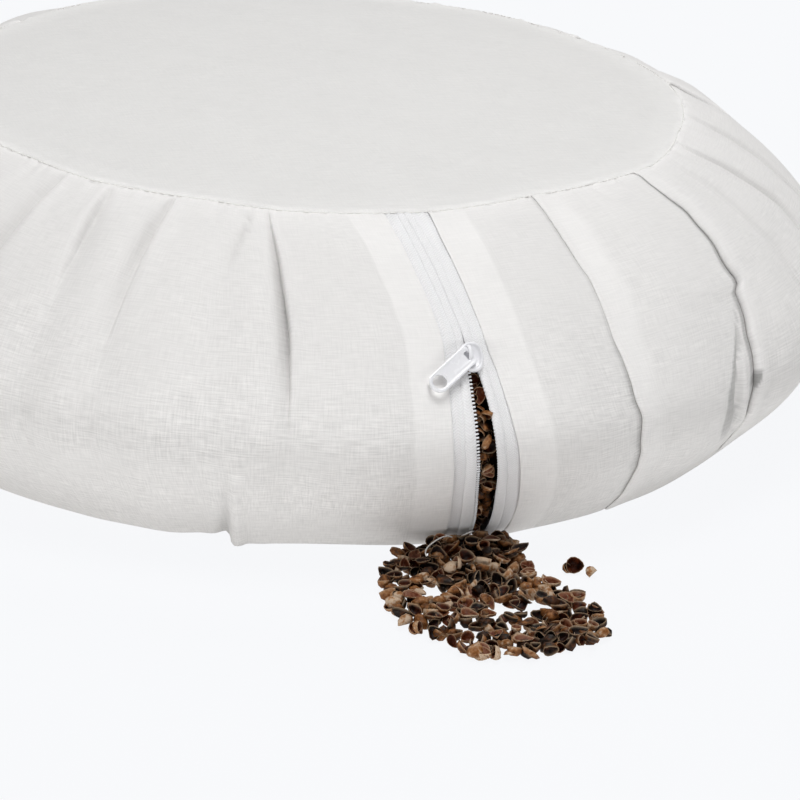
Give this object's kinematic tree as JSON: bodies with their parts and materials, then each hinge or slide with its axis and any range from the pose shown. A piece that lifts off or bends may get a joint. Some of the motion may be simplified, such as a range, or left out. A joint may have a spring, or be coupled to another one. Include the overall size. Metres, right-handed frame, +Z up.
{
  "type": "zafu meditation cushion",
  "caption": "Round pleated floor cushion in plain cotton muslin, its side zip half open and buckwheat hulls spilling from it.",
  "frame": {"origin": "middle of the flat bottom panel, on the floor", "axes": "+Z up through the cushion, -Y towards the zip and the spilled hulls"},
  "size_m": [0.3554, 0.407, 0.104],
  "materials": {
    "cotton muslin": "unbleached plain weave, matte",
    "zip tape": "white herringbone tape, matte",
    "nylon coil": "white, satin",
    "white enamel": "white enamel, glossy",
    "buckwheat hull": "dark brown husk, satin"
  },
  "bodies": {
    "root": {"side_band": "cotton muslin", "top_panel": "cotton muslin", "bottom_panel": "cotton muslin", "zip_tape_left": "zip tape", "zip_tape_right": "zip tape", "zip_coil_left": "nylon coil", "zip_coil_right": "nylon coil", "zip_slider": "white enamel", "zip_pull": "white enamel", "filling_in_gap": "buckwheat hull", "filling_spill": "buckwheat hull", "loose_hull_1": "buckwheat hull", "loose_hull_2": "buckwheat hull", "loose_hull_3": "buckwheat hull", "loose_hull_4": "buckwheat hull"}
  },
  "joints": []
}
